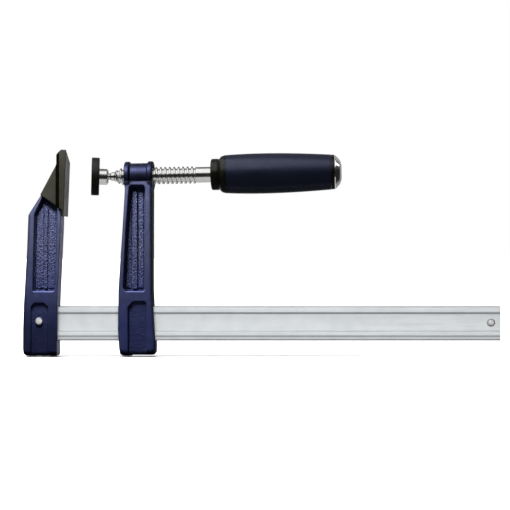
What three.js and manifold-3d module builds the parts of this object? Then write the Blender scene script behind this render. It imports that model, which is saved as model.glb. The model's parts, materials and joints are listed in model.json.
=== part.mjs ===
// F clamp: a cast arm riveted to one end of a profiled steel rail, and a second cast arm that
// slides along the rail and carries the clamping screw, its handle and a swivelling pad.
// Millimetres. X runs along the rail, away from the fixed arm. Z runs up along the arms, and Y
// across their thickness. The origin is on the ground under the middle of the overall length.
import * as THREE from 'three';
import { mergeVertices } from 'three/addons/utils/BufferGeometryUtils.js';
import Module from 'manifold-3d';

const wasm = await Module();
wasm.setup();

// Driving dimensions
const GAP = 0.3; // left between pieces that touch
const LENGTH = 428; // fixed arm's back to the rail's free end
const RAIL_BOTTOM = 13.7;
const RAIL_HEIGHT = 31.2;
const RAIL_MIDDLE = RAIL_BOTTOM + RAIL_HEIGHT / 2;
const RAIL_HALF = 4; // half the thickness of its flanges
const WEB_HALF = 2.9; // half the thickness of its web
const RAIL_INSET = 1.6; // the rail's hidden end, short of the fixed arm's back
const ARM_HALF = 8; // half the thickness of both castings where they hold the rail
const FOOT_HALF = 7.6; // half the sliding arm's thickness at the ground
const FLARE = 0.0165; // how much it grows with each millimetre of height
const SLOT_HALF = RAIL_HALF + 0.4; // half the width of the slots that the rail fills
const POCKET_FLOOR = 2.6; // half the thickness of the web between the main pockets
const LOW_POCKET_FLOOR = 6; // outer face of the thin cheek beside the rail
const THROAT_HEIGHT = 161.85; // middle of the boss above the ground
const BOSS_X = -110.8; // the screw's origin, inside the boss
const BOSS_ENDS = [-12.4, 13]; // from the screw's origin, along it
const LEAN = THREE.MathUtils.degToRad(1.2); // the sliding arm's lean towards the fixed arm
const PITCH = 4;
const CREST = 7.75; // thread's outer radius
const ROOT = 6;
const CREST_WIDTH = 1.3;
const ROOT_WIDTH = 2.6; // width of the ridge where it leaves the root
const THREAD_START = -16.5; // places along the screw are measured from its origin
const THREAD_END = 52;
const BALL_AT = -31.9;
const BALL_RADIUS = 4.6;
const SHANK = 7;
const TANG = 4.5;
const TANG_END = 179;
const HANDLE_START = 65;
const HANDLE_END = 176;
const GRIP_START = 79; // where the sleeve lies on the handle's core
const GRIP_END = 173;
const CAP_LENGTH = 6.1;
const PAD_RADIUS = 17;
const PAD_YAW = THREE.MathUtils.degToRad(10.4); // how the loose pad stands on its ball
const PAD_PITCH = THREE.MathUtils.degToRad(2.6);
const NOSE_HALF = 6.4; // half the thickness of the fixed arm's nose, inside the jaw cap
const SKIRT_HALF = 8.6;
const JAW_HALF = 10.5;
const JAW_TOP = 185.1;
const RIVET_AT = { x: -199.6, z: 31.6 };
const RIVET_SHANK = 2.6;
const STOP_AT = { x: 205.4, z: 30.2 };
const STOP_SHANK = 2.3;
const SLOT_ROOM = 0.5; // height that the sliding arm's slot has over the rail, for its lean
const SPRING_ROOF = 49; // top of the brake spring's room
const SPRING_HALF = 3; // half the spring's width
const SEAT_INNER = BALL_RADIUS + 0.2; // the nylon seat behind the ball
const SEAT_OUTER = BALL_RADIUS + 0.7;
const CUP_INNER = SEAT_OUTER + 0.25; // the pad's cup round the ball joint
const CUP_OUTER = 7.15;
const CUP_END = 4.25; // the cup's crimped end, from the ball's middle
const MOUTH_ANGLE = 50.8; // degrees from the axis at which the cup's inner sphere meets its mouth
const PAD_BACK = -3.85; // the pad's back face, from the ball's middle
const PAD_THICKNESS = 7.1;
const ROUND = 28; // sides of a round piece
const RIVET_SIDES = 16;
const TURN_STEPS = 16; // steps in one turn of the thread, and sides of what the thread is cut on
const PAST = 30; // far enough for a cutting solid to stand out of what it cuts

// Solids and booleans

function solid(geometry) {
  const bare = geometry.clone();
  bare.deleteAttribute('normal');
  bare.deleteAttribute('uv');
  const merged = mergeVertices(bare, 1e-4);
  return new wasm.Manifold(new wasm.Mesh({
    numProp: 3,
    vertProperties: new Float32Array(merged.attributes.position.array),
    triVerts: new Uint32Array(merged.index.array),
  }));
}

function geometryOf(body) {
  const mesh = body.getMesh();
  const geometry = new THREE.BufferGeometry();
  geometry.setAttribute('position', new THREE.BufferAttribute(new Float32Array(mesh.vertProperties), 3));
  geometry.setIndex(new THREE.BufferAttribute(new Uint32Array(mesh.triVerts), 1));
  geometry.computeVertexNormals();
  return geometry;
}

const joined = (bodies) => bodies.reduce((a, b) => a.add(b));
const cut = (body, tools) => tools.reduce((a, b) => a.subtract(b), body);

function outline(points) {
  return new THREE.Shape(points.map(([x, y]) => new THREE.Vector2(x, y)));
}

function extruded(points, depth) {
  return new THREE.ExtrudeGeometry(outline(points), { depth, bevelEnabled: false });
}

// An outline drawn in X and Z, as thick as 2 * half across Y
function slab(points, half) {
  return extruded(points, 2 * half).rotateX(Math.PI / 2).translate(0, half, 0);
}

// An outline drawn in Y and Z, running from x0 to x1
function bar(points, x0, x1) {
  const toX = new THREE.Matrix4().makeBasis(
    new THREE.Vector3(0, 1, 0),
    new THREE.Vector3(0, 0, 1),
    new THREE.Vector3(1, 0, 0),
  );
  return extruded(points, x1 - x0).applyMatrix4(toX).translate(x0, 0, 0);
}

// A pocket cut into the face at Y = -ARM_HALF or +ARM_HALF, down to |Y| = floor.
// Its walls slope in by draft.
function pocket(points, floor, draft, side) {
  const drawn = outline(points.map(([x, z]) => [x, -side * z]));
  const geometry = new THREE.ExtrudeGeometry(drawn, {
    depth: 2,
    steps: 1,
    bevelSegments: 1,
    bevelThickness: ARM_HALF - floor,
    bevelSize: draft,
    bevelOffset: -draft,
  });
  return geometry.rotateX((-side * Math.PI) / 2).translate(0, side * ARM_HALF, 0);
}

// Gives what is drawn at an even thickness the sliding arm's own, which grows towards its boss
function flared(geometry) {
  const place = geometry.attributes.position;
  for (let i = 0; i < place.count; i += 1) {
    place.setY(i, (place.getY(i) * (FOOT_HALF + FLARE * place.getZ(i))) / ARM_HALF);
  }
  return geometry;
}

function block([x0, x1], [z0, z1], half) {
  return new THREE.BoxGeometry(x1 - x0, 2 * half, z1 - z0).translate((x0 + x1) / 2, 0, (z0 + z1) / 2);
}

// A profile of [place along the axis, radius] turned round X. closed joins its end to its start.
function turned(profile, closed = false, sides = ROUND) {
  const points = profile.map(([along, radius]) => new THREE.Vector2(radius, along));
  if (closed) {
    points.push(points[0].clone());
  }
  return new THREE.LatheGeometry(points, sides).rotateZ(-Math.PI / 2);
}

// Points of an arc round [middle, 0] from one angle to another, in degrees from the +X axis
function arc(middle, radius, from, to, steps) {
  return Array.from({ length: steps + 1 }, (_, i) => {
    const angle = THREE.MathUtils.degToRad(from + ((to - from) * i) / steps);
    return [middle + radius * Math.cos(angle), Math.max(radius * Math.sin(angle), 0)];
  });
}

// A right-hand helix round X. Its frames keep a section square to the axis, so that the thread fits its nut.
class Helix extends THREE.Curve {
  constructor(radius, start, end) {
    super();
    Object.assign(this, { radius, start, end });
  }

  angleAt(along) {
    return (2 * Math.PI * along) / PITCH;
  }

  getPoint(t, target = new THREE.Vector3()) {
    const along = THREE.MathUtils.lerp(this.start, this.end, t);
    const angle = this.angleAt(along);
    return target.set(along, this.radius * Math.cos(angle), this.radius * Math.sin(angle));
  }

  computeFrenetFrames(segments) {
    const normals = [];
    for (let i = 0; i <= segments; i += 1) {
      const angle = this.angleAt(THREE.MathUtils.lerp(this.start, this.end, i / segments));
      normals.push(new THREE.Vector3(0, Math.cos(angle), Math.sin(angle)));
    }
    const binormals = normals.map(() => new THREE.Vector3(-1, 0, 0));
    const tangents = normals.map((n, i) => new THREE.Vector3().crossVectors(n, binormals[i]));
    return { tangents, normals, binormals };
  }
}

// The thread's ridge, or with room around it the groove that it runs in
function threadRidge(start, end, room) {
  const sunk = 0.5;
  const low = ROOT_WIDTH / 2 + room + sunk * 0.2;
  const high = CREST_WIDTH / 2 + room;
  const depth = CREST - ROOT + room;
  const section = outline([[-sunk, -low], [depth, -high], [depth, high], [-sunk, low]]);
  const steps = Math.round(((end - start) / PITCH) * TURN_STEPS);
  const path = new Helix(ROOT, start, end);
  return solid(new THREE.ExtrudeGeometry(section, { steps, extrudePath: path, bevelEnabled: false }));
}

// Placement of what leans with the sliding arm

const screwFrame = new THREE.Matrix4()
  .makeRotationY(-LEAN)
  .setPosition(BOSS_X, 0, THROAT_HEIGHT);

function onScrewAxis(geometry) {
  return solid(geometry.clone().applyMatrix4(screwFrame));
}

function finish(colour, roughness, metalness) {
  return new THREE.MeshStandardMaterial({ color: colour, roughness, metalness });
}

const bluePaint = () => finish(0x323a52, 0.45, 0.1);
const blackPlastic = () => finish(0x2b2a24, 0.5, 0);
const brightSteel = () => finish(0xc9ccc8, 0.25, 1);
const galvanised = () => finish(0xd4d8da, 0.35, 0.9);

function piece(name, geometry, material) {
  const mesh = new THREE.Mesh(geometry, material);
  mesh.name = name;
  return mesh;
}

// The frame: rail, fixed arm, rivets and jaw cap

function rivetHole(at, radius) {
  return solid(new THREE.CylinderGeometry(radius, radius, PAST, RIVET_SIDES).translate(at.x, 0, at.z));
}

// A rivet along Y with a low dome on both ends
function rivet(at, shank, seat, headRadius, headHeight) {
  const dome = (sign) => Array.from({ length: 4 }, (_, i) => {
    const angle = (i / 3) * (Math.PI / 2);
    return [headRadius * Math.cos(angle), sign * (seat + headHeight * Math.sin(angle))];
  });
  const half = [[shank, seat], ...dome(1)];
  const other = [[shank, -seat], ...dome(-1)].reverse();
  const points = [...other, ...half].map(([r, y]) => new THREE.Vector2(Math.max(r, 0), y));
  points[0].x = 0;
  points[points.length - 1].x = 0;
  return new THREE.LatheGeometry(points, RIVET_SIDES).translate(at.x, 0, at.z);
}

function railSolid() {
  const side = [
    [2.4, 0], [3.4, 1.3], [3.5, 3.7], [RAIL_HALF, 4.9], [RAIL_HALF, 8.5], [WEB_HALF, 9.1],
    [WEB_HALF, 24], [RAIL_HALF, 25.8], [RAIL_HALF, 30.2], [3.2, RAIL_HEIGHT],
  ];
  const other = side.map(([y, z]) => [-y, z]).reverse();
  const rolled = bar([...side, ...other], -LENGTH / 2 + RAIL_INSET, LENGTH / 2);
  return cut(solid(rolled.translate(0, 0, RAIL_BOTTOM)), [
    rivetHole(RIVET_AT, RIVET_SHANK + GAP),
    rivetHole(STOP_AT, STOP_SHANK + GAP),
  ]);
}

// The skirt's lower edge, from the arm's sloping back to its jaw side
const SKIRT_BACK = [-198.2, 144.6];
const SKIRT_FRONT = [-178.6, 131.1];

const nose = (room) => slab([
  [-186, 122 - room], [-194.98 - room, 143.4], [-181.9 - room, 168.2 + room],
  [-179.3 + room, 168.2 + room], [-179.9 + room, 131], [-180.2 + room, 122 - room],
], NOSE_HALF + room);

function fixedArmSolid() {
  const back = -LENGTH / 2;
  const body = slab([
    [-211, 0.2], [-190.4, 0.2], [-189.8, 0], [-184.6, 0], [-183.2, 1.4], [-183.4, 10.7],
    [-182.9, 49], [-179.8, 117.5], [-179.6, SKIRT_FRONT[1] + 0.4],
    [SKIRT_BACK[0], SKIRT_BACK[1] - 0.3], [-209.4, 126.6], [-210.6, 95.3],
    [-213.2, 50.7], [-213.9, 28], [back, 6.5], [-213.4, 2],
  ], ARM_HALF);
  const main = [
    [-205.1, 59.6], [-204.4, 58.2], [-186, 58.2], [-184.9, 59.8], [-183.1, 108.6],
    [-182.9, 132.1], [-195.6, 140.6], [-203.6, 126.8],
  ];
  const low = [
    [-206.9, 8], [-191, 8], [-190.8, 44.5], [-194.5, 48.4], [-203.6, 48.4], [-206.7, 45.6],
  ];
  const pockets = [-1, 1].flatMap((side) => [
    pocket(main, POCKET_FLOOR, 1.8, side),
    pocket(low, LOW_POCKET_FLOOR, 0.6, side),
  ]);
  const height = [RAIL_BOTTOM - GAP, RAIL_BOTTOM + RAIL_HEIGHT + GAP];
  const slot = block([back - PAST, back + 2 * PAST], height, SLOT_HALF);
  const casting = cut(joined([solid(body), solid(nose(0))]), pockets.map(solid));
  return cut(casting, [solid(slot), rivetHole(RIVET_AT, RIVET_SHANK + GAP)]);
}

function jawCapSolid() {
  const plate = slab([
    [-183.7, 134.7], [-178.2, 130.6], [-178.2, 125.5], [-176.9, 125.5],
    [-174.6, JAW_TOP], [-179, JAW_TOP], [-183.7, JAW_TOP - 4.7],
  ], JAW_HALF);
  const skirt = slab([
    SKIRT_BACK, SKIRT_FRONT, [-177.5, 131], [-177.5, 170], [-183.7, 172.2], [-184.6, 170.2],
  ], SKIRT_HALF);
  // the plate's back edges are sloped, and its top falls away to the far side
  const outside = JAW_HALF + 1;
  const edges = [-1, 1].map((side) => extruded(
    [[-184.6, side * (SKIRT_HALF - 0.68)], [-184.6, side * outside], [-180.9, side * outside]],
    3 * PAST,
  ).translate(0, 0, 120));
  const fall = [[-JAW_HALF, JAW_TOP], [outside, 173.8], [outside, 190], [-JAW_HALF, 190]];
  const top = bar(fall, -190, -170);
  return cut(joined([solid(plate), solid(skirt)]), [...edges.map(solid), solid(top), solid(nose(GAP))]);
}

function frameGroup() {
  const group = new THREE.Group();
  group.add(
    piece('rail', geometryOf(railSolid()), galvanised()),
    piece('fixed_arm', geometryOf(fixedArmSolid()), bluePaint()),
    piece('fixed_arm_rivet', rivet(RIVET_AT, RIVET_SHANK, LOW_POCKET_FLOOR + GAP, 3.6, 1.5), brightSteel()),
    piece('jaw_cap', geometryOf(jawCapSolid()), blackPlastic()),
    piece('rail_end_stop', rivet(STOP_AT, STOP_SHANK, WEB_HALF + GAP, 3.6, 2.1), brightSteel()),
  );
  return group;
}

// The sliding arm and the brake spring in its slot

function bossGeometry() {
  const [start, end] = BOSS_ENDS;
  return turned([
    [start, 0], [start, 12.2], [start + 0.9, 13.1], [start + 4.1, 13.1], [start + 5.1, 11.5],
    [end - 5.1, 11.5], [end - 4.1, 13.1], [end - 0.9, 13.1], [end, 12.2], [end, 0],
  ]);
}

// The bevels round the mouths of the threaded bore
function countersinks() {
  return BOSS_ENDS.map((face) => {
    const side = Math.sign(face);
    const inner = face - side * (CREST - ROOT);
    const outer = face + side;
    const profile = [[inner, 0], [inner, ROOT + GAP / 2], [outer, CREST + 1.3], [outer, 0]];
    return turned(side > 0 ? profile : profile.reverse(), false, TURN_STEPS);
  });
}

function slidingArmSolid() {
  const body = slab([
    [-125.4, 0.3], [-117.2, 0.3], [-116.4, 1.2], [-97.2, 1.2], [-95.5, 3.2], [-95.3, 9.5], [-96.1, 22],
    [-97.7, 50], [-98.2, 59], [-98.3, 113], [-98.2, THROAT_HEIGHT], [-122.5, THROAT_HEIGHT], [-122.6, 148.7],
    [-124.8, 113.1], [-126.7, 86.3], [-128.5, 59.6], [-129, 24], [-128, 7.4], [-127, 1.8],
  ], ARM_HALF);
  const main = [
    [-124.2, 61], [-121.6, 58.2], [-105.6, 58.2], [-104.1, 60], [-103.9, 150], [-105.4, 153.3],
    [-117.2, 153.3], [-118.7, 151], [-121.7, 112],
  ];
  const low = [
    [-119.9, 8], [-103.3, 8], [-103.2, 47.6], [-104.6, 49.4], [-115.2, 49.4], [-119.9, 43.8],
  ];
  const pockets = [-1, 1].flatMap((side) => [
    pocket(main, POCKET_FLOOR, 1.8, side),
    pocket(low, LOW_POCKET_FLOOR, 0.6, side),
  ]);
  const slotHeight = RAIL_HEIGHT + 2 * SLOT_ROOM;
  const slot = new THREE.BoxGeometry(2 * PAST, 2 * SLOT_HALF, slotHeight);
  slot.rotateY(-LEAN).translate(BOSS_X - 2.2, 0, RAIL_MIDDLE);
  const springRoom = block([-122.5, -103], [RAIL_MIDDLE, SPRING_ROOF], SPRING_HALF + 0.7);
  const past = 5 * PITCH;
  const bore = turned([[-past, 0], [-past, ROOT + GAP], [past, ROOT + GAP], [past, 0]], false, TURN_STEPS);
  const groove = threadRidge(-past, past, GAP).transform([...screwFrame.elements]);
  const pocketed = cut(solid(flared(body)), pockets.map((geometry) => solid(flared(geometry))));
  const casting = joined([pocketed, onScrewAxis(bossGeometry())]);
  const holes = [bore, ...countersinks()].map(onScrewAxis);
  return cut(casting, [solid(slot), solid(springRoom), ...holes, groove]);
}

// A bowed strip of spring steel between the slot's roof and the rail
function brakeSpringGeometry() {
  const along = [-121, -118, -113, -108, -105];
  const rise = [0, 0.6, 2.1, 0.6, 0];
  const thick = 0.7;
  const low = along.map((x, i) => [x, RAIL_BOTTOM + RAIL_HEIGHT + GAP + rise[i]]);
  const high = low.map(([x, z]) => [x, z + thick]).reverse();
  return slab([...low, ...high], SPRING_HALF);
}

// The screw: spindle, handle and end cap, drawn along X from the screw's origin

function spindleSolid() {
  const core = turned([
    ...arc(BALL_AT, BALL_RADIUS, 180, 39, 9), [BALL_AT + 5.9, 2.95], [BALL_AT + 7, 3.8], [-21.7, 3.9],
    [-21, 4.8], [THREAD_START - 0.6, 5.6],
    [THREAD_START, ROOT], [THREAD_END - 0.5, ROOT], [THREAD_END, SHANK], [HANDLE_START + 12, SHANK],
    [HANDLE_START + 12, TANG], [TANG_END - 0.4, TANG], [TANG_END, TANG - 0.4], [TANG_END, 0],
  ], false, TURN_STEPS);
  return solid(core).add(threadRidge(THREAD_START, THREAD_END - PITCH / TURN_STEPS, 0));
}

function handleCoreGeometry() {
  return turned([
    [HANDLE_START, SHANK + GAP], [HANDLE_START, 12.5], [HANDLE_START + 0.5, 13.6], [HANDLE_START + 1.6, 14.1],
    [HANDLE_START + 5.6, 14.1], [HANDLE_START + 6.4, 13.6], [HANDLE_START + 6.9, 13.6],
    [HANDLE_START + 8.3, 15.1], [HANDLE_START + 9.5, 16.2], [HANDLE_START + 10.8, 16.8],
    [HANDLE_START + 12.2, 17.1], [GRIP_START, 17.2], [GRIP_START, 12.2], [GRIP_END, 12.2],
    [GRIP_END, 15.6], [HANDLE_END, 15.4], [HANDLE_END, TANG + GAP],
    [HANDLE_START + 12 + GAP, TANG + GAP], [HANDLE_START + 12 + GAP, SHANK + GAP],
  ], true);
}

function handleGripGeometry() {
  const start = GRIP_START + GAP;
  const end = GRIP_END - GAP;
  return turned([
    [start, 12.5], [start, 17.2], [89, 17.7], [99, 18.05], [110, 18.15], [122, 18.1],
    [134, 17.8], [145, 17.35], [155, 16.8], [164, 16.25], [end, 15.7], [end, 12.5],
  ], true);
}

function endCapGeometry() {
  const start = HANDLE_END + GAP;
  const end = start + CAP_LENGTH;
  return turned([
    [TANG_END + GAP, 0], [TANG_END + GAP, TANG + GAP], [start, TANG + GAP], [start, 15.3],
    [start + 0.5, 14.9], [start + 1.6, 13.8], [start + 3.1, 12.1], [start + 4.6, 9.8], [end - 0.4, 6.5],
    [end, 0],
  ]);
}

// The ball joint and the pad, drawn along X from the ball's middle

// A ring or cup lying between two spheres round the ball's middle
function shell(from, to, steps) {
  const profile = [...arc(0, SEAT_OUTER, to, from, steps), ...arc(0, SEAT_INNER, from, to, steps)];
  return turned(profile, to < 180, 18);
}

function padPlateGeometry() {
  const bottom = -CUP_INNER;
  return turned([
    [bottom - 1.6, 0], [bottom - 1.6, 14], [bottom - 1, 14.4], [bottom + 0.2, 14.4], [bottom + 0.4, 14],
    [bottom + 0.4, CUP_OUTER], [2.5, CUP_OUTER], [3.6, 6.5], [CUP_END, 5.4], [CUP_END, 4.8],
    ...arc(0, CUP_INNER, MOUTH_ANGLE, 180, 8),
  ]);
}

function padCapGeometry() {
  const back = PAD_BACK;
  const front = back - PAD_THICKNESS;
  const plateFront = -CUP_INNER - 1.6 - GAP;
  return turned([
    [front, 0], [front, PAD_RADIUS - 0.6], [front + 0.6, PAD_RADIUS], [back - 0.6, PAD_RADIUS],
    [back, PAD_RADIUS - 0.6], [back, CUP_OUTER + 0.6], [back - 0.15, CUP_OUTER + GAP],
    [-CUP_INNER + 0.4 + GAP, CUP_OUTER + GAP], [-CUP_INNER + 0.4 + GAP, 14.7], [plateFront, 14.7],
    [plateFront, 0],
  ]);
}

function swivelGroup() {
  const group = new THREE.Group();
  group.position.set(BALL_AT, 0, 0);
  const pitched = new THREE.Group();
  pitched.rotation.y = PAD_PITCH;
  const yawed = new THREE.Group();
  yawed.rotation.z = PAD_YAW;
  yawed.add(
    piece('pad_plate', padPlateGeometry(), brightSteel()),
    piece('pad_cap', padCapGeometry(), blackPlastic()),
  );
  pitched.add(piece('retaining_ring', shell(62, 84, 2), brightSteel()), yawed);
  group.add(piece('ball_seat', shell(128, 180, 4), finish(0xd8d5c8, 0.5, 0)), pitched);
  return group;
}

function screwGroup() {
  const group = new THREE.Group();
  group.position.set(BOSS_X, 0, THROAT_HEIGHT);
  group.rotation.y = -LEAN;
  group.add(
    piece('spindle', geometryOf(spindleSolid()), brightSteel()),
    piece('handle_core', handleCoreGeometry(), blackPlastic()),
    piece('handle_grip', handleGripGeometry(), finish(0x343c58, 0.55, 0)),
    piece('handle_end_cap', endCapGeometry(), finish(0xe2e3e0, 0.08, 1)),
    swivelGroup(),
  );
  return group;
}

const clamp = new THREE.Group();
clamp.add(
  frameGroup(),
  piece('sliding_arm', geometryOf(slidingArmSolid()), bluePaint()),
  piece('brake_spring', brakeSpringGeometry(), brightSteel()),
  screwGroup(),
);

export default clamp;
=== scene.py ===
"""F clamp in dark blue paint, on a plain pale floor.

Lengths are in millimetres up to mesh_piece(), which turns them into metres. The frame's X runs along
the rail, Z up along the arms, and Y across their thickness, away from the camera.
"""
import json
import math

import bmesh
import bpy
from mathutils import Matrix, Vector


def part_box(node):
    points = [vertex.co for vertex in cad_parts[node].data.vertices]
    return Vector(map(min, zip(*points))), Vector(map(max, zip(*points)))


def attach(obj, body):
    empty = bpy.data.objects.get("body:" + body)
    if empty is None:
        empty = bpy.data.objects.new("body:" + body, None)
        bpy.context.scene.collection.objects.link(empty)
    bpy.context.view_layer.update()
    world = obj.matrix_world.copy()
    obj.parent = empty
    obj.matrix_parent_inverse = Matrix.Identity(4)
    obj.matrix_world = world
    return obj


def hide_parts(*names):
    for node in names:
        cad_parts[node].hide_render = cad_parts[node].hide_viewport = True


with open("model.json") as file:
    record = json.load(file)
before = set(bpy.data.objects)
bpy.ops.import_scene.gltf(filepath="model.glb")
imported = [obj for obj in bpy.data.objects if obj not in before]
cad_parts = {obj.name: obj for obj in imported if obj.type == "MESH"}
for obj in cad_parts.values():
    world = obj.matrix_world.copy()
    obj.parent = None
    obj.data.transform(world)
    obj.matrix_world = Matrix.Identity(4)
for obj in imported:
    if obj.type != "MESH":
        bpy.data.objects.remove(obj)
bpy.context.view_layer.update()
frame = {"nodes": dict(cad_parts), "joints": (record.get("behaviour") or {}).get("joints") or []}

MM = 0.001
JOINTS = {joint["name"]: joint for joint in frame["joints"]}


def node_box(name):
    """A CAD node's lowest and highest corner in millimetres."""
    return [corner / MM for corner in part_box(name)]


# ---------------------------------------------------------------- dimensions

RAIL_LOW, RAIL_HIGH = node_box("rail")
ARM_HALF = node_box("fixed_arm")[1].y
FOOT_HALF = 7.6  # half the sliding arm's thickness at the ground
FLARE = 0.0165  # how much it grows with each millimetre of height
SLOT_HALF = RAIL_HIGH.y + 0.4
GAP = 0.3
POCKET_FLOOR = 2.6
LOW_POCKET_FLOOR = 6.0
PITCH = 4.0
CREST = 7.75
ROOT = 6.0
SHANK = 7.0
TANG = 4.5  # radius of the spindle's end inside the handle
TANG_END = 179.0
PAD_YAW = math.radians(10.4)
PAD_PITCH = math.radians(2.6)

SCREW_AXIS = -Vector(JOINTS["screw_turn"]["axis"])
LEAN = math.asin(SCREW_AXIS.z)
BOSS = Vector(JOINTS["screw_turn"]["pos_m"]) / MM
BALL = Vector(JOINTS["pad_tilt"]["pos_m"]) / MM
SCREW_FRAME = Matrix.Translation(BOSS) @ Matrix.Rotation(-LEAN, 4, "Y")
PAD_FRAME = (
    Matrix.Translation(BALL)
    @ Matrix.Rotation(PAD_PITCH - LEAN, 4, "Y")
    @ Matrix.Rotation(PAD_YAW, 4, "Z")
)
BALL_AT = -(BALL - BOSS).length  # along the screw, from its origin
BOSS_ENDS = (-12.4, 13.0)
ROCK_AT = -113  # X of the line about which the sliding arm rocks
CAST_VOXEL = 0.38
CAST_ROUNDS = 3
CAST_SHARE = 0.4  # of the faces, kept when a casting is simplified

# ---------------------------------------------------------------- outlines


def fillet(before, corner, after, radius, steps):
    """Points of the arc that rounds a corner between two neighbours."""
    towards_before = (before - corner).normalized()
    towards_after = (after - corner).normalized()
    half = towards_before.angle(towards_after) / 2
    if radius <= 0 or half > math.radians(89.9):
        return [corner.copy() for _ in range(steps + 1)]
    longest = 0.48 * min((before - corner).length, (after - corner).length)
    reach = min(radius / math.tan(half), longest)
    radius = reach * math.tan(half)
    middle = corner + (towards_before + towards_after).normalized() * radius / math.sin(half)
    start = corner + towards_before * reach - middle
    end = corner + towards_after * reach - middle
    turn = start.angle_signed(end)
    first = math.atan2(start.y, start.x)
    return [
        middle + radius * Vector((math.cos(first - turn * k / steps), math.sin(first - turn * k / steps)))
        for k in range(steps + 1)
    ]


def moved_corner(corner, before, after, inset_before, inset_after):
    """Where a corner goes when the edges either side of it move in."""
    left_of_before = Vector((-before.y, before.x))
    left_of_after = Vector((-after.y, after.x))
    turn = before.cross(after)
    if abs(turn) < 1e-4:
        return corner + left_of_after * inset_after
    x = (inset_before * left_of_after.y - inset_after * left_of_before.y) / turn
    y = (left_of_before.x * inset_after - left_of_after.x * inset_before) / turn
    return corner + Vector((x, y))


def ring(corners, insets, depths, steps=4):
    """One closed loop of an outline in X and Z. corners hold x, z and a corner radius, anticlockwise.
    The edge that starts at each corner is moved in by its inset, at its own depth in Y."""
    count = len(corners)
    flat = [Vector(corner[:2]) for corner in corners]
    ways = [(flat[(i + 1) % count] - flat[i]).normalized() for i in range(count)]
    moved = [
        moved_corner(flat[i], ways[i - 1], ways[i], insets[i - 1], insets[i]) for i in range(count)
    ]
    points = []
    for i in range(count):
        inset = (insets[i - 1] + insets[i]) / 2
        convex = ways[i - 1].cross(ways[i]) > 0
        radius = corners[i][2]
        if radius > 0:
            radius = max(radius - inset, 0.25) if convex else radius + inset
        arc = fillet(moved[i - 1], moved[i], moved[(i + 1) % count], radius, steps)
        for k, point in enumerate(arc):
            depth = depths[i - 1] + (depths[i] - depths[i - 1]) * k / steps
            points.append(Vector((point.x, depth, point.y)))
    return points


# ---------------------------------------------------------------- meshes


def mesh_piece(name, build, place=Matrix.Identity(4)):
    """A new object from build(bm), which works in millimetres. place is in millimetres too."""
    bm = bmesh.new()
    build(bm)
    bmesh.ops.remove_doubles(bm, verts=bm.verts, dist=1e-4)
    bmesh.ops.dissolve_degenerate(bm, edges=bm.edges, dist=1e-4)
    bmesh.ops.transform(bm, matrix=Matrix.Scale(MM, 4) @ place, verts=bm.verts)
    bmesh.ops.recalc_face_normals(bm, faces=bm.faces)
    mesh = bpy.data.meshes.new(name)
    bm.to_mesh(mesh)
    bm.free()
    piece = bpy.data.objects.new(name, mesh)
    bpy.context.scene.collection.objects.link(piece)
    return piece


def loft(bm, rings, closed=False):
    """Faces between rings of as many points each, with a face over each end unless closed."""
    loops = [[bm.verts.new(point) for point in loop] for loop in rings]
    pairs = list(zip(loops, loops[1:]))
    if closed:
        pairs.append((loops[-1], loops[0]))
    for one, other in pairs:
        for i, vert in enumerate(one):
            following = (i + 1) % len(one)
            bm.faces.new((vert, one[following], other[following], other[i]))
    if not closed:
        bm.faces.new(loops[0][::-1])
        bm.faces.new(loops[-1])


def revolve(bm, profile, steps=96, fillet_steps=4):
    """Turns a profile of place along X, radius and corner radius, which starts and ends on the axis,
    or closes on itself where it doesn't."""
    points = [Vector(corner[:2]) for corner in profile]
    on_axis = points[0].y == 0
    outline = []
    for i, corner in enumerate(profile):
        end = on_axis and i in (0, len(profile) - 1)
        if end or corner[2] == 0:
            outline.append(points[i])
        else:
            following = points[(i + 1) % len(points)]
            outline += fillet(points[i - 1], points[i], following, corner[2], fillet_steps)
    rings = []
    for point in outline:
        angles = [2 * math.pi * k / steps for k in range(steps)]
        rings.append([Vector((point.x, point.y * math.cos(a), point.y * math.sin(a))) for a in angles])
    loft(bm, rings, closed=not on_axis)


def turned(name, profile, place, steps=96, fillet_steps=4):
    """A new object turned round the X axis of place."""
    return mesh_piece(name, lambda bm: revolve(bm, profile, steps, fillet_steps), place)


def applied(piece):
    """The piece with its modifiers made part of its mesh."""
    graph = bpy.context.evaluated_depsgraph_get()
    graph.update()
    mesh = bpy.data.meshes.new_from_object(piece.evaluated_get(graph))
    piece.modifiers.clear()
    old = piece.data
    piece.data = mesh
    bpy.data.meshes.remove(old)
    return piece


def carve(piece, adds, cuts):
    """Joins and cuts solids, and takes the tools away."""
    for operation, tools in (("UNION", adds), ("DIFFERENCE", cuts)):
        for tool in tools:
            modifier = piece.modifiers.new(operation, "BOOLEAN")
            modifier.operation = operation
            modifier.solver = "MANIFOLD"
            modifier.object = tool
            applied(piece)
            mesh = tool.data
            bpy.data.objects.remove(tool)
            bpy.data.meshes.remove(mesh)
    return piece


def soften(piece, voxel, rounds, share):
    """Gives a carved solid the soft edges and fillets of a casting or moulding."""
    remesh = piece.modifiers.new("remesh", "REMESH")
    remesh.mode = "VOXEL"
    remesh.voxel_size = voxel * MM
    smooth = piece.modifiers.new("smooth", "SMOOTH")
    smooth.factor = 0.5
    smooth.iterations = rounds
    decimate = piece.modifiers.new("decimate", "DECIMATE")
    decimate.ratio = share
    applied(piece)
    piece.data.shade_smooth()
    return piece


def finished(piece, body, material, replaced, angle=35):
    """Puts a piece on its body with its material. angle is the sharpest edge that is shaded smooth."""
    piece.data.materials.clear()
    piece.data.materials.append(material)
    if angle:
        piece.data.set_sharp_from_angle(angle=math.radians(angle))
        for polygon in piece.data.polygons:
            polygon.use_smooth = True
    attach(piece, body)
    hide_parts(*replaced)
    return piece


# ---------------------------------------------------------------- materials


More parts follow.
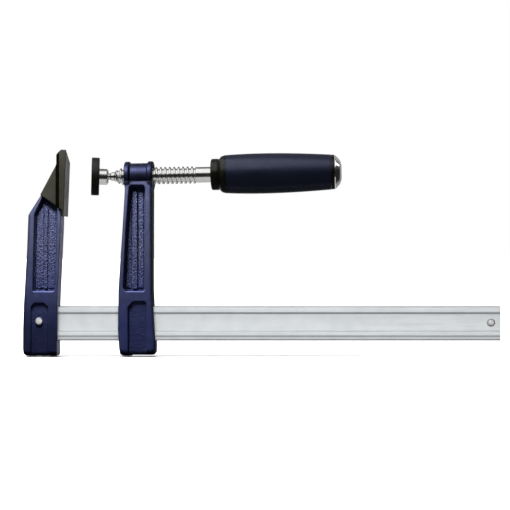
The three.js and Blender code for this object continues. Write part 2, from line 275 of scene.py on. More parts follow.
class Graph:
    """Short calls that add nodes to a node tree."""

    def __init__(self, tree):
        self.tree = tree

    def node(self, kind, sockets=None, **settings):
        made = self.tree.nodes.new(kind)
        for key, value in settings.items():
            setattr(made, key, value)
        for key, value in (sockets or {}).items():
            if isinstance(value, bpy.types.NodeSocket):
                self.tree.links.new(value, made.inputs[key])
            else:
                made.inputs[key].default_value = value
        return made

    def axes(self, vector):
        return self.node("ShaderNodeSeparateXYZ", {0: vector}).outputs

    def math(self, operation, one, other=0.0):
        return self.node("ShaderNodeMath", {0: one, 1: other}, operation=operation).outputs[0]

    def times(self, one, other):
        return self.math("MULTIPLY", one, other)

    def largest(self, first, *others):
        for other in others:
            first = self.math("MAXIMUM", first, other)
        return first

    def between(self, value, low, high, out_low=0.0, out_high=1.0, **settings):
        """Goes from out_low to out_high while value goes from low to high."""
        sockets = {"Value": value, "From Min": low, "From Max": high, "To Min": out_low, "To Max": out_high}
        return self.node("ShaderNodeMapRange", sockets, **settings).outputs[0]


class Look(Graph):
    """A node material round one Principled shader."""

    def __init__(self, name, **values):
        self.material = bpy.data.materials.new(name)
        self.material.use_nodes = True
        super().__init__(self.material.node_tree)
        self.shader = self.tree.nodes["Principled BSDF"]
        for socket, value in values.items():
            self.shader.inputs[socket.replace("_", " ")].default_value = value
        self.place = self.node("ShaderNodeTexCoord").outputs["Object"]

    def stretched(self, scale, turn=(0, 0, 0)):
        """The place with each axis scaled, for streaks and bands."""
        turned_first = self.node("ShaderNodeMapping", {"Vector": self.place, "Rotation": turn})
        sockets = {"Vector": turned_first.outputs[0], "Scale": scale}
        return self.node("ShaderNodeMapping", sockets).outputs[0]

    def noise(self, size, detail=3.0, rough=0.55, place=None):
        """Noise whose lumps are about size millimetres across."""
        sockets = {"Vector": place or self.place, "Scale": 1 / (size * MM)}
        sockets.update({"Detail": detail, "Roughness": rough})
        return self.node("ShaderNodeTexNoise", sockets).outputs["Fac"]

    def where(self, value, low, high, out_low=0.0, out_high=1.0):
        """The same as between(), with low and high in millimetres."""
        return self.between(value, low * MM, high * MM, out_low, out_high)

    def mix(self, share, one, other):
        mixed = self.node("ShaderNodeMix", {"Factor": share}, data_type="RGBA")
        for key, value in (("A", one), ("B", other)):
            socket = next(s for s in mixed.inputs if s.name == key and s.type == "RGBA")
            if isinstance(value, bpy.types.NodeSocket):
                self.tree.links.new(value, socket)
            else:
                socket.default_value = (*value, 1)
        return next(s for s in mixed.outputs if s.type == "RGBA")

    def bump(self, height, depth, onto=None):
        """A bump whose full height is about depth millimetres."""
        sockets = {"Height": height, "Strength": 1.0, "Distance": depth * MM}
        if onto is not None:
            sockets["Normal"] = onto
        return self.node("ShaderNodeBump", sockets).outputs[0]

    def set(self, socket, value):
        self.tree.links.new(value, self.shader.inputs[socket])


HIGH_PAINT = (0.12, 0.138, 0.27), (0.15, 0.165, 0.3)  # two tones, in patches, for the paint high up where the light falls full
# The same paint with painted shade, for the lower arms, where less light falls; two tones in patches.
SHADED_LOW_PAINT = (0.07, 0.09, 0.28), (0.085, 0.105, 0.3)
# Painted shade on the pockets' floors.
POCKET_FLOOR_SHADE = (0.02, 0.024, 0.06)
SHADED_PAINT = (0.003, 0.004, 0.009)
WORN_PAINT = (0.24, 0.25, 0.38)
BOSS_PAINT = (0.009, 0.011, 0.028)
BETWEEN_POCKETS = 44, 46  # heights that part the low pockets from the main ones
LOW_FLOOR_SKIN_AND_SHADE = 0.14  # how much of the main floors' rough skin and painted shade the low pockets' floors get
FRONT_RIM = -186.5, -170  # where the fixed arm's front rim, which gets no painted shade, starts and ends along X
BACK_RIM = -199, -201  # where the painted shade on its back rim fades in


def pocket_floors(look, across, up):
    """How much a place is on a pocket's floor, which sets its rough skin and its painted shade, and whether
    it is on a low pocket's.
    """
    depth = look.math("ABSOLUTE", across)
    start, end = BETWEEN_POCKETS
    low_floor = look.times(look.where(depth, 7.2, 6.8), look.where(up, end, start))
    main_floor = look.times(look.where(depth, 5.9, 5.6), look.where(up, start, end))
    return look.largest(main_floor, look.times(low_floor, LOW_FLOOR_SKIN_AND_SHADE)), low_floor


def shaded_sides(look, along, up):
    """The castings' sides below the boss that get painted shade: those facing +X, apart from the fixed arm's
    front rim, and the fixed arm's back rim."""
    normal = look.node("ShaderNodeTexCoord").outputs["Normal"]
    right, forward, _ = look.axes(normal)
    start, end = FRONT_RIM
    off_front_rim = look.largest(look.where(along, start, start - 1), look.where(along, end, end + 1))
    facing_right = look.times(look.between(right, 0.1, 0.5), off_front_rim)
    facing_left = look.times(look.between(right, -0.1, -0.5), look.where(along, *BACK_RIM))
    side = look.between(look.math("ABSOLUTE", forward), 0.85, 0.4, 0, 0.75)
    side = look.times(side, look.where(up, 150, 146))
    return look.times(side, look.largest(facing_right, facing_left))


def cast_paint():
    """Dark blue metallic paint over a casting: a faint skin all over, rough sand-cast skin in the pockets,
    and smoother, darker paint on the boss. Painted shade darkens it low down, on the pockets' floors, on some
    sides and next to the ground."""
    look = Look("cast_paint", Metallic=0.9, IOR=1.5)
    along, across, up = look.axes(look.place)
    on_floor, on_low_floor = pocket_floors(look, across, up)
    patches = look.between(look.noise(9, 4), 0.35, 0.7)
    high = look.mix(patches, *HIGH_PAINT)
    low = look.mix(patches, *SHADED_LOW_PAINT)
    # Painted shade: the paint darkens from 95 mm down to 30 mm, where less light falls.
    colour = look.mix(look.where(up, 30, 95), low, high)
    # Painted shade on the pockets' floors.
    colour = look.mix(look.times(on_floor, 0.42), colour, POCKET_FLOOR_SHADE)
    # Painted shade, nearly black at most: low on the fixed arm, on the low pockets' floors, on sides turned
    # from the light, and next to the ground.
    low_on_fixed_arm = look.times(look.where(up, 62, 24, 0, 0.55), look.where(along, -150, -170))
    near_ground = look.where(up, 7, 3, 0, 0.95)
    sides = shaded_sides(look, along, up)
    shade = look.largest(low_on_fixed_arm, look.times(on_low_floor, 0.25), sides, near_ground)
    colour = look.mix(shade, colour, SHADED_PAINT)
    grain = look.noise(1.7, 5, 0.6)
    worn = look.between(look.node("ShaderNodeNewGeometry").outputs["Pointiness"], 0.515, 0.56, 0.0, 0.4)
    worn = look.times(worn, look.between(grain, 0.3, 0.7, 0.5, 1.0))
    colour = look.mix(worn, colour, WORN_PAINT)
    on_boss = look.where(up, 156.3, 157.4)
    look.set("Base Color", look.mix(on_boss, colour, BOSS_PAINT))
    matt = look.between(look.noise(5, 3), 0.3, 0.7, 0.48, 0.56)
    matt = look.math("ADD", matt, look.times(on_floor, 0.03))
    look.set("Roughness", look.times(matt, look.between(on_boss, 0, 1, 1.0, 0.92)))
    peel = look.bump(look.noise(1.3, 2, 0.4), 0.035)
    pits = look.times(look.between(grain, 0.38, 0.62), look.where(up, 120, 70, 0.4, 1.0))
    look.set("Normal", look.bump(look.times(pits, on_floor), 0.85, peel))
    return look.material


def moulded(name, light, dark, roughness, grain_depth, shine=0.5, tint=(1, 1, 1, 1), band=None):
    """Moulded plastic with a fine spark-eroded grain and faint handling marks. band gives where a nearly
    black band of painted shade, without sheen, starts and ends along X, and how bright the plastic is beyond
    its end, where it is painted a little darker as shade."""
    look = Look(name, IOR=1.49, Specular_IOR_Level=shine, Specular_Tint=tint)
    shade = look.mix(look.between(look.noise(6, 4), 0.3, 0.7), dark, light)
    if band:
        along = look.axes(look.place)["X"]
        start, end, beyond = band
        # Painted shade: nearly black and without sheen in the band, and a little darker beyond it.
        before_band = look.where(along, start + 0.2, start - 0.2)
        share = look.largest(before_band, look.where(along, end - 0.3, end + 0.2, 0, beyond))
        shade = look.mix(share, (0.002, 0.002, 0.001), shade)
        look.set("Specular IOR Level", look.times(share, shine))
    look.set("Base Color", shade)
    rubbed = look.noise(14, 3)
    look.set("Roughness", look.between(rubbed, 0.3, 0.7, roughness - 0.06, roughness + 0.06))
    look.set("Normal", look.bump(look.noise(0.35, 3, 0.6), grain_depth))
    return look.material


def bright_steel(name, light, dark, roughness, marks, mark_depth, turn=(0, 0, 0), metallic=1.0):
    """Zinc plated steel with fine tool marks. marks scales the place, so that they run round or along."""
    look = Look(name, Metallic=metallic)
    streaks = look.noise(1, 4, 0.6, look.stretched(marks, turn))
    clouds = look.noise(12, 3)
    look.set("Base Color", look.mix(look.between(clouds, 0.3, 0.7), dark, light))
    look.set("Roughness", look.between(streaks, 0.3, 0.7, roughness - 0.05, roughness + 0.06))
    look.set("Normal", look.bump(streaks, mark_depth))
    return look.material


ROUND_THE_SCREW = (1, 0.03, 0.03)
ALONG_THE_RAIL = (0.02, 1.6, 1.6)
ANY_WAY = (1, 1, 1)
SCREW_TURN = (0, LEAN, 0)
PLAIN_BLACK = (0.024, 0.023, 0.015), (0.017, 0.016, 0.01)
HANDLE_BLACK = (0.014, 0.013, 0.007), (0.01, 0.009, 0.004)
GRIP_BLUE = (0.02, 0.023, 0.06), (0.016, 0.019, 0.052)
GRIP_TINT = (0.62, 0.7, 1, 1)
NYLON_WHITE = (0.66, 0.64, 0.56), (0.6, 0.58, 0.5)
ZINC_GREY = (0.74, 0.77, 0.79), (0.68, 0.71, 0.72)
STEEL_GREY = (0.8, 0.8, 0.79), (0.72, 0.72, 0.71)
RIVET_GREY = (0.6, 0.6, 0.6), (0.52, 0.52, 0.52)
CHROME_GREY = (0.86, 0.86, 0.85), (0.82, 0.82, 0.81)

BLUE_PAINT = cast_paint()
BLACK_PLASTIC = moulded("black_plastic", *PLAIN_BLACK, 0.44, 0.03)
# The jaw cap's plastic, with painted shade on the slope between its skirt and its plate, and a little on the
# plate beyond.
JAW_PLASTIC = moulded("jaw_plastic", *PLAIN_BLACK, 0.44, 0.03, band=(-184.3, -180.6, 0.75))
HANDLE_PLASTIC = moulded("handle_plastic", *HANDLE_BLACK, 0.3, 0.01)
BLUE_GRIP = moulded("blue_grip", *GRIP_BLUE, 0.37, 0.01, 1.0, GRIP_TINT)
NYLON = moulded("nylon", *NYLON_WHITE, 0.5, 0.02)
ZINC = bright_steel("zinc", *ZINC_GREY, 0.5, ALONG_THE_RAIL, 0.004, metallic=0.5)
STEEL = bright_steel("steel", *STEEL_GREY, 0.17, ROUND_THE_SCREW, 0.006, SCREW_TURN)
RIVET_STEEL = bright_steel("rivet_steel", *RIVET_GREY, 0.5, ANY_WAY, 0.01)
CHROME = bright_steel("chrome", *CHROME_GREY, 0.07, ROUND_THE_SCREW, 0.0008, SCREW_TURN)

# ---------------------------------------------------------------- rail


def rail():
    """The rolled bar, its narrow edges cut with fine teeth across."""
    side = [
        (2.4, 0, 0.5), (3.4, 1.3, 0.4), (3.5, 3.7, 0.3), (4, 4.9, 0.3), (4, 8.5, 0.3), (2.9, 9.1, 0.35),
        (2.9, 24, 0.4), (4, 25.8, 0.35), (4, 30.2, 0.4), (3.2, 31.2, 0.3),
    ]
    corners = side + [(-y, z, radius) for y, z, radius in reversed(side)]
    flat = [point.xz for point in ring(corners, [0] * len(corners), [0] * len(corners), 3)]
    tooth = 1.2
    depth = 0.22
    half = 4
    top = RAIL_HIGH.z - RAIL_LOW.z
    ends = 0.7  # without teeth
    count = int((RAIL_HIGH.x - RAIL_LOW.x - 2 * ends) / tooth)

    def loop(x, inset, sunk):
        points = []
        for y, z in flat:
            on_edge = z < 0.3 or z > top - 0.4
            z = min(max(z, inset + sunk * on_edge), top - inset - sunk * on_edge)
            points.append(Vector((x, max(min(y, half - inset), inset - half), z + RAIL_LOW.z)))
        return points

    loops = [loop(RAIL_LOW.x, 0, 0), loop(RAIL_LOW.x + ends, 0, 0)]
    for i in range(count):
        x = RAIL_LOW.x + ends + i * tooth
        loops += [loop(x + share * tooth, 0, depth * sunk) for share, sunk in ((0.3, 0), (0.6, 1), (0.8, 1))]
    loops += [loop(RAIL_HIGH.x - ends, 0, 0), loop(RAIL_HIGH.x - 0.2, 0.12, 0), loop(RAIL_HIGH.x, 0.5, 0)]
    piece = mesh_piece("rail_bar", lambda bm: loft(bm, loops))
    return finished(piece, "frame", ZINC, ["rail"])


def rivet(name, node, head_radius, seat, head_height):
    """Flattish heads on both faces of a rivet. seat is how far from its middle each head starts."""
    low, high = node_box(node)
    middle = (low + high) / 2
    place = Matrix.Translation(middle) @ Matrix.Rotation(math.pi / 2, 4, "Z")
    steps = 7
    dome = [
        (seat + head_height * math.sin(a), head_radius * math.cos(a) ** 0.3, 0)
        for a in (math.pi / 2 * k / steps for k in range(steps))
    ]
    shank = 2.5
    half = [(seat, shank, 0), (seat, head_radius - 0.1, 0)] + dome + [(seat + head_height, 0, 0)]
    other = [(-along, radius, 0) for along, radius, _ in reversed(half)]
    piece = turned(name, other + half, place, 48)
    return finished(piece, "frame", RIVET_STEEL, [node], 50)


# ---------------------------------------------------------------- castings


def cast_body(name, corners, edge_radii, half):
    """A plate as thick as 2 * half whose rim is rounded by a radius of its own along each edge."""
    angles = [math.pi / 2 * k / 4 for k in range(5)]
    rings = []
    for side, order in ((-1, angles[::-1]), (1, angles)):
        for angle in order:
            insets = [radius * (1 - math.cos(angle)) for radius in edge_radii]
            depths = [side * (half - radius + radius * math.sin(angle)) for radius in edge_radii]
            rings.append(ring(corners, insets, depths))
    return mesh_piece(name, lambda bm: loft(bm, rings))


def pocket(corners, floor, drafts, side):
    """A pocket with rounded mouth and floor edges. drafts give how far each wall slopes in."""
    mouth = 0.35
    root = 0.5
    over = 1.0
    deep = ARM_HALF - floor
    levels = [(over, [-mouth] * len(corners))]
    for k in range(4):
        angle = math.pi / 2 * k / 3
        levels.append((-mouth * (1 - math.cos(angle)), [mouth * (math.sin(angle) - 1)] * len(corners)))
    for k in range(4):
        angle = math.pi / 2 * k / 3
        height = -deep + root * (1 - math.sin(angle))
        levels.append((height, [draft + root * (1 - math.cos(angle)) for draft in drafts]))
    rings = [
        ring(corners, insets, [side * (ARM_HALF + height)] * len(corners)) for height, insets in levels
    ]
    return mesh_piece("pocket", lambda bm: loft(bm, rings))


def floor_strip(corners, floor, height, side):
    """A raised strip on a pocket's floor."""
    rise = [(-0.6, 0), (height * 0.5, 0), (height, 0.3)]
    rings = [
        ring(corners, [inset] * len(corners), [side * (floor + up)] * len(corners)) for up, inset in rise
    ]
    return mesh_piece("strip", lambda bm: loft(bm, rings))


def arm_tools(main, main_drafts, low, strips):
    """The pockets to cut in both faces of an arm, and the strips to raise on the main pockets' floors."""
    pockets = []
    raised = []
    for side in (-1, 1):
        pockets.append(pocket(main, POCKET_FLOOR, main_drafts, side))
        pockets.append(pocket(low, LOW_POCKET_FLOOR, [0.6] * len(low), side))
        raised += [floor_strip(outline, POCKET_FLOOR, height, side) for outline, height in strips]
    return pockets, raised


def box(x, y, z, place=Matrix.Identity(4)):
    """A plain box between three pairs of limits."""
    rings = [
        [Vector((x[0], y[0], level)), Vector((x[1], y[0], level)), Vector((x[1], y[1], level)),
         Vector((x[0], y[1], level))]
        for level in z
    ]
    return mesh_piece("box", lambda bm: loft(bm, rings), place)


def cylinder_cut(place, radius, reach=40, steps=64):
    """A long cylinder to cut with."""
    profile = [(-reach, 0, 0), (-reach, radius, 0), (reach, radius, 0), (reach, 0, 0)]
    return turned("bore", profile, place, steps)


def nose(room):
    """The fixed arm's upper end, which the jaw cap covers."""
    corners = [
        (-186, 122 - room, 0), (-180.2 + room, 122 - room, 0), (-179.9 + room, 131, 0),
        (-179.3 + room, 168.2 + room, 0), (-181.9 - room, 168.2 + room, 0), (-194.98 - room, 143.4, 0),
    ]
    half = 6.4 + room
    rings = [ring(corners, [0] * 6, [depth] * 6, 1) for depth in (-half, half)]
    return mesh_piece("nose", lambda bm: loft(bm, rings))


def fixed_arm():
    """The left casting: its rim, pockets, the nose under the jaw cap and the slot that holds the rail."""
    corners = [
        (-211, 0.2, 1), (-190.4, 0.2, 0.3), (-189.8, 0, 0.3), (-184.6, 0, 0.8), (-183.2, 1.4, 0.8),
        (-183.4, 10.7, 20), (-182.9, 49, 200), (-179.8, 117.5, 100), (-179.6, 131.5, 0.6),
        (-198.2, 144.4, 0.3), (-209.4, 126.6, 1.5), (-210.6, 95.3, 150), (-213.2, 50.7, 200),
        (-213.9, 28, 60), (-214, 6.5, 4), (-213.4, 2, 1.5),
    ]
    bottom, right, top, back = 5.0, 0.9, 0.8, 3.2
    radii = [bottom] * 3 + [2.4] + [right] * 4 + [top] + [back] * 3 + [2.6, 2, 2.2, 3.6]
    main = [
        (-205.1, 59.6, 1.6), (-204.4, 58.2, 1.6), (-186, 58.2, 1.6), (-184.9, 59.8, 1.6),
        (-183.1, 108.6, 80), (-182.9, 134.4, 0.8), (-196.2, 143.4, 0.8), (-203.6, 126.8, 6),
    ]
    low = [
        (-207.2, -3, 2), (-191, -3, 2), (-190.8, 44.5, 2.4), (-194.5, 48.4, 2.4), (-203.6, 48.4, 3),
        (-207.1, 45.2, 3),
    ]
    strips = [
        ([(-202.6, 61, 1), (-196.4, 61, 1), (-195.9, 131.5, 1), (-197.6, 132.4, 1), (-201.4, 125.4, 2)], 0.9),
        ([(-195.3, 60.4, 0.5), (-192.6, 60.4, 0.5), (-191.9, 132.4, 0.5), (-194.8, 134.4, 0.5)], 1.9),
        ([(-191.8, 61, 1), (-187.1, 61, 1), (-185.6, 127, 1), (-191.1, 130.8, 1)], 0.9),
    ]
    piece = cast_body("fixed_arm_casting", corners, radii, ARM_HALF)
    pockets, raised = arm_tools(main, [1.6, 0.4, 1.2, 1.4, 1.4, 0.4, 2.4, 2.4], low, strips)
    carve(piece, [nose(0)], pockets)
    slot = box((-240, -150), (-SLOT_HALF, SLOT_HALF), (RAIL_LOW.z - GAP, RAIL_HIGH.z + GAP))
    carve(piece, raised, [slot])
    soften(piece, CAST_VOXEL, CAST_ROUNDS, CAST_SHARE)
    return finished(piece, "frame", BLUE_PAINT, ["fixed_arm"], None)


def boss():
    """The threaded boss, with a bead round each end."""
    start, end = BOSS_ENDS
    profile = [
        (start, 0, 0), (start, 13.1, 1.1), (start + 4.2, 13.1, 0.9), (start + 5.2, 11.5, 1.0),
        (end - 5.2, 11.5, 1.0), (end - 4.2, 13.1, 0.9), (end, 13.1, 1.1), (end, 0, 0),
    ]
    return turned("boss", profile, SCREW_FRAME, 96)


def sliding_arm():
    """The right casting. It is cut flat, then made thicker towards the top, and gets its boss and bores."""
    corners = [
        (-125.4, 0.3, 1), (-117.2, 0.3, 0.6), (-116.4, 1.2, 0.6), (-97.2, 1.2, 1), (-95.5, 3.2, 1.2),
        (-95.3, 9.5, 20), (-96.1, 22, 60), (-97.7, 50, 60), (-98.2, 59, 200), (-98.3, 113, 200),
        (-98.2, BOSS.z, 1), (-122.5, BOSS.z, 1), (-122.6, 148.7, 30), (-124.8, 113.1, 200),
        (-126.7, 86.3, 200), (-128.5, 59.6, 100), (-129, 24, 60), (-128, 7.4, 6), (-127, 1.8, 1),
    ]
    bottom, right, back = 4.6, 2.4, 1.8
    radii = [bottom] * 4 + [right] * 7 + [back] * 7 + [bottom]
    main = [
        (-124.2, 61, 2), (-121.6, 58.2, 2), (-105.6, 58.2, 1.6), (-104.1, 60, 1.6), (-103.9, 150, 2),
        (-105.4, 153.3, 2), (-117.2, 153.3, 2), (-118.7, 151, 2), (-121.7, 112, 100),
    ]
    low = [
        (-119.9, -3, 2), (-103.3, -3, 2), (-103.2, 47.6, 2), (-104.6, 49.4, 2), (-115.2, 49.4, 3),
        (-119.9, 43.8, 3),
    ]
    strips = [
        ([(-121.6, 62, 1), (-117.5, 60.6, 1), (-116.9, 146.6, 1), (-117.3, 146.8, 0.5),
          (-119.2, 112, 20)], 0.9),
        ([(-116.5, 60.4, 0.5), (-111.7, 60.4, 0.5), (-111.7, 147.6, 0.5), (-116.1, 147.6, 0.5)], 1.8),
        ([(-110.7, 61, 1), (-106.4, 61, 1), (-106.4, 146.4, 2), (-110.7, 147.4, 1)], 0.9),
    ]
    piece = cast_body("sliding_arm_casting", corners, radii, ARM_HALF)
    pockets, raised = arm_tools(main, [1.6, 0.4, 1.2, 1.4, 1.2, 0.5, 1.2, 2.2, 2.0], low, strips)
    carve(piece, [], pockets)
    carve(piece, raised, [])
    for vert in piece.data.vertices:
        vert.co.y *= (FOOT_HALF + FLARE * vert.co.z / MM) / ARM_HALF
    rail_middle = (RAIL_LOW.z + RAIL_HIGH.z) / 2
    slot_high = (RAIL_HIGH.z - RAIL_LOW.z) / 2 + 0.5
    tilted = Matrix.Translation((ROCK_AT, 0, rail_middle)) @ Matrix.Rotation(-LEAN, 4, "Y")
    slot = box((-30, 30), (-SLOT_HALF, SLOT_HALF), (-slot_high, slot_high), tilted)
    spring_room = box((-122.5, -103), (-3.7, 3.7), (rail_middle, 49))
    carve(piece, [boss()], [slot, spring_room, cylinder_cut(SCREW_FRAME, CREST + GAP)])
    soften(piece, CAST_VOXEL, CAST_ROUNDS, CAST_SHARE)
    return finished(piece, "sliding_arm", BLUE_PAINT, ["sliding_arm"], None)


def jaw_cap():
    """The black cap on the nose: a plate with the clamping face, and a skirt with a sloping lower edge."""
    high = node_box("jaw_cap")[1]
    plate_half = high.y
    skirt_half = 8.6
    fold = -184.6  # where the skirt's sides start to slope out to the plate
    plate = [
        (-183.7, 134.7, 0.3), (-178.2, 130.6, 0.3), (-178.2, 125.5, 0.3), (-176.9, 125.5, 0.3),
        (-174.6, high.z, 0.5), (-179, high.z, 0.5), (-183.7, high.z - 4.7, 0.5),
    ]
    skirt = [
        (-198.2, 144.6, 0.5), (-178.6, 131.1, 0.3), (-177.5, 131, 0.3), (-177.5, 170, 0.3),
        (-183.7, 172.2, 0.3), (fold, 170.2, 0.3),
    ]
    piece = cast_body("jaw_cap_moulding", plate, [0.4] * len(plate), plate_half)
    skirt_piece = cast_body("skirt", skirt, [0.5] * len(skirt), skirt_half)
    outside = plate_half + 1
    slopes = []
    for side in (-1, 1):
        flat = [(fold, side * (skirt_half - 0.68)), (-180.9, side * outside), (fold, side * outside)]
        rings = [[Vector((x, y, level)) for x, y in flat] for level in (110, 190)]
        slopes.append(mesh_piece("slope", lambda bm: loft(bm, rings)))
    fall = [(-plate_half, high.z), (outside, 173.8), (outside, 190), (-plate_half, 190)]
    rings = [[Vector((x, y, z)) for y, z in fall] for x in (-190, -170)]
    top = mesh_piece("top", lambda bm: loft(bm, rings))
    carve(piece, [skirt_piece], [*slopes, top, nose(GAP)])
    soften(piece, 0.3, 2, 0.4)
    return finished(piece, "frame", JAW_PLASTIC, ["jaw_cap"], None)


# ---------------------------------------------------------------- screw


def thread_radius(along, phase, low_end, high_end):
    """The thread's surface: a ridge with sloping flanks, faded out in the taper at the front."""
    crest_half, root_half = 0.6, 1.35
    away = abs((phase + 0.5) % 1 - 0.5) * PITCH
    ridge = min(max((root_half - away) / (root_half - crest_half), 0), 1)
    root = min(ROOT, 4.3 + (along - low_end) * 0.3)
    crest = min(CREST, 5.1 + (along - low_end) * 0.42, ROOT + (high_end - along) * 1.2)
    return root + max(crest - root, 0) * ridge


def spindle():
    """Threaded steel screw with a ball on a slender neck at its front end."""
    start, end = -21.4, 52
    around = 72
    per_turn = (0, 0.15, 0.21, 0.3375, 0.40, 0.60, 0.6625, 0.79, 0.85)  # closer together on the flanks
    turns = int((end - start) / PITCH) + 3

    def thread(bm):
        grid = []
        for i in range(around + 1):
            share = i / around
            row = []
            for turn in range(-1, turns):
                for step in per_turn:
                    phase = turn + step
                    along = start + (phase + share) * PITCH
                    inside = min(max(along, start), end)
                    radius = thread_radius(inside, (inside - start) / PITCH - share, start, end)
                    angle = 2 * math.pi * share
                    spot = Vector((inside, radius * math.cos(angle), radius * math.sin(angle)))
                    row.append(bm.verts.new(spot))
            grid.append(row)
        for row, following in zip(grid, grid[1:]):
            for k in range(len(row) - 1):
                bm.faces.new((row[k], row[k + 1], following[k + 1], following[k]))

    ball_radius = 4.6
    ball = [
        (BALL_AT - ball_radius * math.cos(a), ball_radius * math.sin(a), 0)
        for a in (math.radians(180 - 39) * k / 12 for k in range(13))
    ]
    profile = ball + [
        (BALL_AT + 5.9, 2.95, 0.5), (BALL_AT + 7.2, 3.9, 0.4), (-22.2, 4.0, 0.3), (start, 4.4, 0.2),
        (-14, 5.6, 0.5), (end - 1, ROOT - 0.15, 0), (end - 0.6, SHANK, 0.5), (77, SHANK, 0),
        (77, TANG, 0), (TANG_END, TANG, 0.4), (TANG_END, 0, 0),
    ]
    piece = turned("spindle_core", profile, SCREW_FRAME, 72)
    ridge = mesh_piece("spindle_thread", thread, SCREW_FRAME)
    bm = bmesh.new()
    bm.from_mesh(piece.data)
    bm.from_mesh(ridge.data)
    bm.to_mesh(piece.data)
    bm.free()
    bpy.data.objects.remove(ridge)
    piece.name = "threaded_spindle"
    return finished(piece, "screw", STEEL, ["spindle"], 40)


def handle():
    """The handle's black core, blue sleeve and polished end cap."""
    start, end = 65.0, 176.0
    bore = TANG + GAP
    grip_start, grip_end = 79.0, 173.0
    core = [
        (start, SHANK + GAP, 0), (start, 14.1, 1.6), (start + 6.2, 14.1, 0.8), (start + 6.8, 13.5, 0.3),
        (start + 9.4, 16.2, 1.2), (start + 12.2, 17.05, 0.8), (grip_start, 17.2, 0.1),
        (grip_start, 12.2, 0), (grip_end, 12.2, 0), (grip_end, 15.65, 0.1), (end, 15.4, 0.25),
        (end, bore, 0), (start + 12.3, bore, 0), (start + 12.3, SHANK + GAP, 0),
    ]
    black = turned("handle_black_core", core, SCREW_FRAME, 128, 6)
    finished(black, "screw", HANDLE_PLASTIC, ["handle_core"])
    seam = 0.06
    grip_start += seam
    grip_end -= seam
    length = grip_end - grip_start
    widest, first, last = 18.12, 17.2, 15.7
    swell_at = 0.36
    surface = []
    steps = 40
    for k in range(steps + 1):
        share = k / steps
        if share < swell_at:
            radius = widest - (widest - first) * ((swell_at - share) / swell_at) ** 2.2
        else:
            radius = widest - (widest - last) * ((share - swell_at) / (1 - swell_at)) ** 1.8
        surface.append((grip_start + length * share, radius, 0.12 if k in (0, steps) else 0))
    grip = [(grip_end, 12.5, 0), (grip_start, 12.5, 0)] + surface
    blue = turned("handle_blue_grip", grip, SCREW_FRAME, 128)
    finished(blue, "screw", BLUE_GRIP, ["handle_grip"])
    cap_start = end + GAP
    cap_end = (node_box("handle_end_cap")[1].x - BOSS.x) / math.cos(LEAN) - 0.25
    bore_end = TANG_END + GAP
    cap = [
        (bore_end, 0, 0), (bore_end, bore, 0), (cap_start, bore, 0), (cap_start, 15.3, 0.3),
        (cap_start + 0.7, 14.7, 1.2), (cap_start + 4.3, 10.9, 3.4), (cap_end, 6.5, 3), (cap_end, 0, 0),
    ]
    chrome = turned("handle_chrome_cap", cap, SCREW_FRAME, 128, 12)
    finished(chrome, "screw", CHROME, ["handle_end_cap"])
    return black, blue, chrome


# ---------------------------------------------------------------- pad


def pad():
    """The ball joint's crimped cup on its plate, and the black cap over it."""
    cup_inner, cup_outer = 5.55, 7.15
    bottom = -cup_inner
    mouth = 50.8  # degrees from the axis to where the crimp ends
    steps = 14
    inner = [
        (cup_inner * math.cos(a), cup_inner * math.sin(a), 0)
        for a in (math.radians(mouth + (180 - mouth) * k / steps) for k in range(steps))
    ]
    plate_radius = 14.4
    plate = [
        (bottom - 1.6, 0, 0), (bottom - 1.6, plate_radius, 0.4), (bottom + 0.4, plate_radius, 0.4),
        (bottom + 0.4, cup_outer, 0.5), (3.0, cup_outer, 1.6), (4.25, 5.2, 0.5), (4.25, 4.7, 0.2),
        *inner, (bottom, 0, 0),
    ]
    steel = turned("pad_steel_plate", plate, PAD_FRAME, 96, 6)
    finished(steel, "pad", STEEL, ["pad_plate"])
    back, front = -3.85, -10.95
    radius = 17.0
    hole = cup_outer + GAP
    recess = plate_radius + GAP
    cap = [
        (front, 0, 0), (front, radius, 0.8), (back, radius, 0.9), (back, hole, 0.3),
        (bottom + 0.7, hole, 0), (bottom + 0.7, recess, 0), (bottom - 1.9, recess, 0), (bottom - 1.9, 0, 0),
    ]
    black = turned("pad_black_cap", cap, PAD_FRAME, 128, 6)
    finished(black, "pad", BLACK_PLASTIC, ["pad_cap"])
    return steel, black


def hidden_nodes():
    """The small pieces inside, which stay as the CAD has them."""
    looks = {"brake_spring": STEEL, "ball_seat": NYLON, "retaining_ring": STEEL}
    for node, material in looks.items():
        frame["nodes"][node].data.materials.clear()
        frame["nodes"][node].data.materials.append(material)


# ---------------------------------------------------------------- studio


def pale_floor():
    """A plain pale floor that throws no light back on the object and isn't mirrored in it."""
    bpy.ops.mesh.primitive_plane_add(size=60, location=(0, 0, -0.0006))
    made = bpy.context.object
    made.name = "floor"
    look = Look("floor", Roughness=0.9, Specular_IOR_Level=0.1)
    clouds = look.between(look.noise(60, 2), 0.3, 0.7)
    look.set("Base Color", look.mix(clouds, (0.9, 0.9, 0.9), (0.92, 0.92, 0.92)))
    made.data.materials.append(look.material)
    made.visible_diffuse = False
    made.visible_glossy = False
    made.visible_shadow = False
    return made


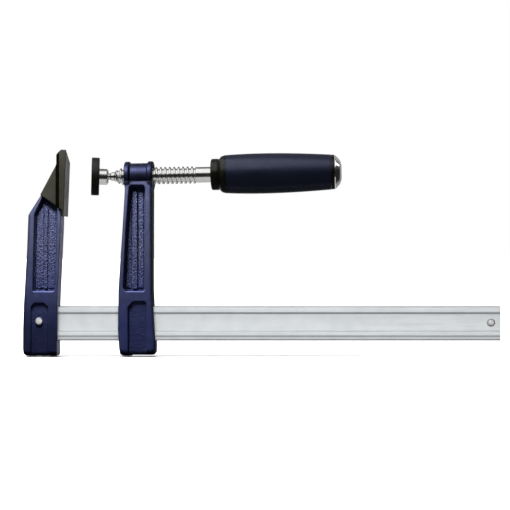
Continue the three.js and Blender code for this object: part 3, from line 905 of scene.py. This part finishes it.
def studio(plated, bright, paint, jaw, plastic):
    """The floor, a dim room, and soft boxes that each light some of the pieces: the plated rail and rivets,
    the bright turned steel, the painted castings, the jaw cap and the other plastic."""
    ground = pale_floor()
    dim_room()
    sun = bpy.data.lights.new("overhead", "SUN")
    sun.energy = 7
    sun.angle = math.radians(60)
    key_at, middle = (-0.32, -0.3, 0.78), (-0.05, 0, 0.14)
    behind, fixed_at = (0.1, 1.0, 0.12), (-0.18, 0, 0.1)
    castings = [*paint, jaw]
    others = [*bright, *plated, *plastic]
    lamps = [
        (sun, (-0.3, -0.4, 2), (0, 0, 0), [ground]),
        (soft_box("key", 1.3, 0.9, 3.6), key_at, middle, others),
        (soft_box("key_on_paint", 1.3, 0.9, 0.6), key_at, middle, castings),
        (soft_box("right", 1.0, 0.35, 1.5), (0.8, -0.12, 0.7), (0.07, 0, 0.16), [bright[1]]),
        (soft_box("side", 0.3, 0.9, 0.35), (-0.95, -0.75, 0.3), (-0.1, 0, 0.1), [*others, jaw]),
        (soft_box("under", 2.3, 2.3, 10), (0, 0, -0.8), (0, 0, 0), bright),
        (soft_box("front", 1.6, 0.5, 6.6), (0, -1.0, 0.1), (0, 0, 0.03), plated),
        (soft_box("near", 0.12, 0.12, 2.8), (-0.22, -0.15, 0.38), (-0.16, 0, 0.12), castings),
        (soft_box("back", 0.6, 0.6, 1.5), behind, fixed_at, [paint[1]]),
        (soft_box("back_on_cap", 0.6, 0.6, 0.6), behind, fixed_at, [jaw]),
    ]
    for lamp, spot, target, receivers in lamps:
        made = bpy.data.objects.new(lamp.name, lamp)
        made.location = spot
        made.rotation_euler = (Vector(target) - Vector(spot)).to_track_quat("-Z", "Y").to_euler()
        made.visible_camera = False
        group = bpy.data.collections.new("lit_by_" + lamp.name)
        for piece in receivers:
            group.objects.link(piece)
        made.light_linking.receiver_collection = group
        bpy.context.scene.collection.objects.link(made)


def soft_box(name, width, height, power):
    """A rectangular lamp, in metres and watts."""
    lamp = bpy.data.lights.new(name, "AREA")
    lamp.shape = "RECTANGLE"
    lamp.size = width
    lamp.size_y = height
    lamp.energy = power
    return lamp


def dim_room():
    """A dim room, brighter low down at the back, behind a plain white backdrop that only the camera sees."""
    world = bpy.data.worlds.new("room")
    bpy.context.scene.world = world
    world.use_nodes = True
    graph = Graph(world.node_tree)

    def step(value, low, high, out_low=0.0, out_high=1.0):
        return graph.between(value, low, high, out_low, out_high, interpolation_type="SMOOTHSTEP")

    x, y, z = graph.axes(graph.node("ShaderNodeTexCoord").outputs["Generated"])
    at_back = step(y, 0.4, 0.75)
    low_down = step(graph.math("ABSOLUTE", z), 0.25, 0.5, 0.9, 0.0)
    glow = graph.times(graph.times(at_back, step(x, 0.06, -0.04)), low_down)
    right_of_it = graph.times(at_back, step(x, 0.15, 0.22, 0.0, 0.3))
    above = step(z, 0.1, 0.6, 0.02, 0.17)
    below = step(z, -0.6, -0.3, 0.035, 0.0)
    total = glow
    for part in (above, right_of_it, below):
        total = graph.math("ADD", total, part)
    seen = graph.node("ShaderNodeLightPath").outputs["Is Camera Ray"]
    graph.tree.links.new(graph.largest(total, seen), graph.tree.nodes["Background"].inputs["Color"])


def camera():
    """Level with the middle of the object and square to it, a little to the right of its middle."""
    distance = 1.15
    across = 0.459  # width seen at the object
    middle = -0.0066
    data = bpy.data.cameras.new("camera")
    data.lens = data.sensor_width * distance / across
    made = bpy.data.objects.new("camera", data)
    made.location = (0.0609, -distance, 0.0908)
    made.rotation_euler = (math.pi / 2, 0, 0)
    data.shift_x = (middle - made.location.x) / across
    bpy.context.scene.collection.objects.link(made)
    bpy.context.scene.camera = made


camera()
bar = rail()
arm_rivet = rivet("fixed_arm_rivet_heads", "fixed_arm_rivet", 3.6, 6.3, 1.5)
end_stop = rivet("end_stop_heads", "rail_end_stop", 3.6, 3.2, 2.1)
sliding, fixed, jaw = sliding_arm(), fixed_arm(), jaw_cap()
screw = spindle()
core, grip, chrome_cap = handle()
pad_steel, pad_black = pad()
hidden_nodes()
studio([bar, arm_rivet, end_stop], [screw, chrome_cap, pad_steel], [sliding, fixed], jaw,
       [core, grip, pad_black])
bpy.context.scene.view_settings.view_transform = "Standard"
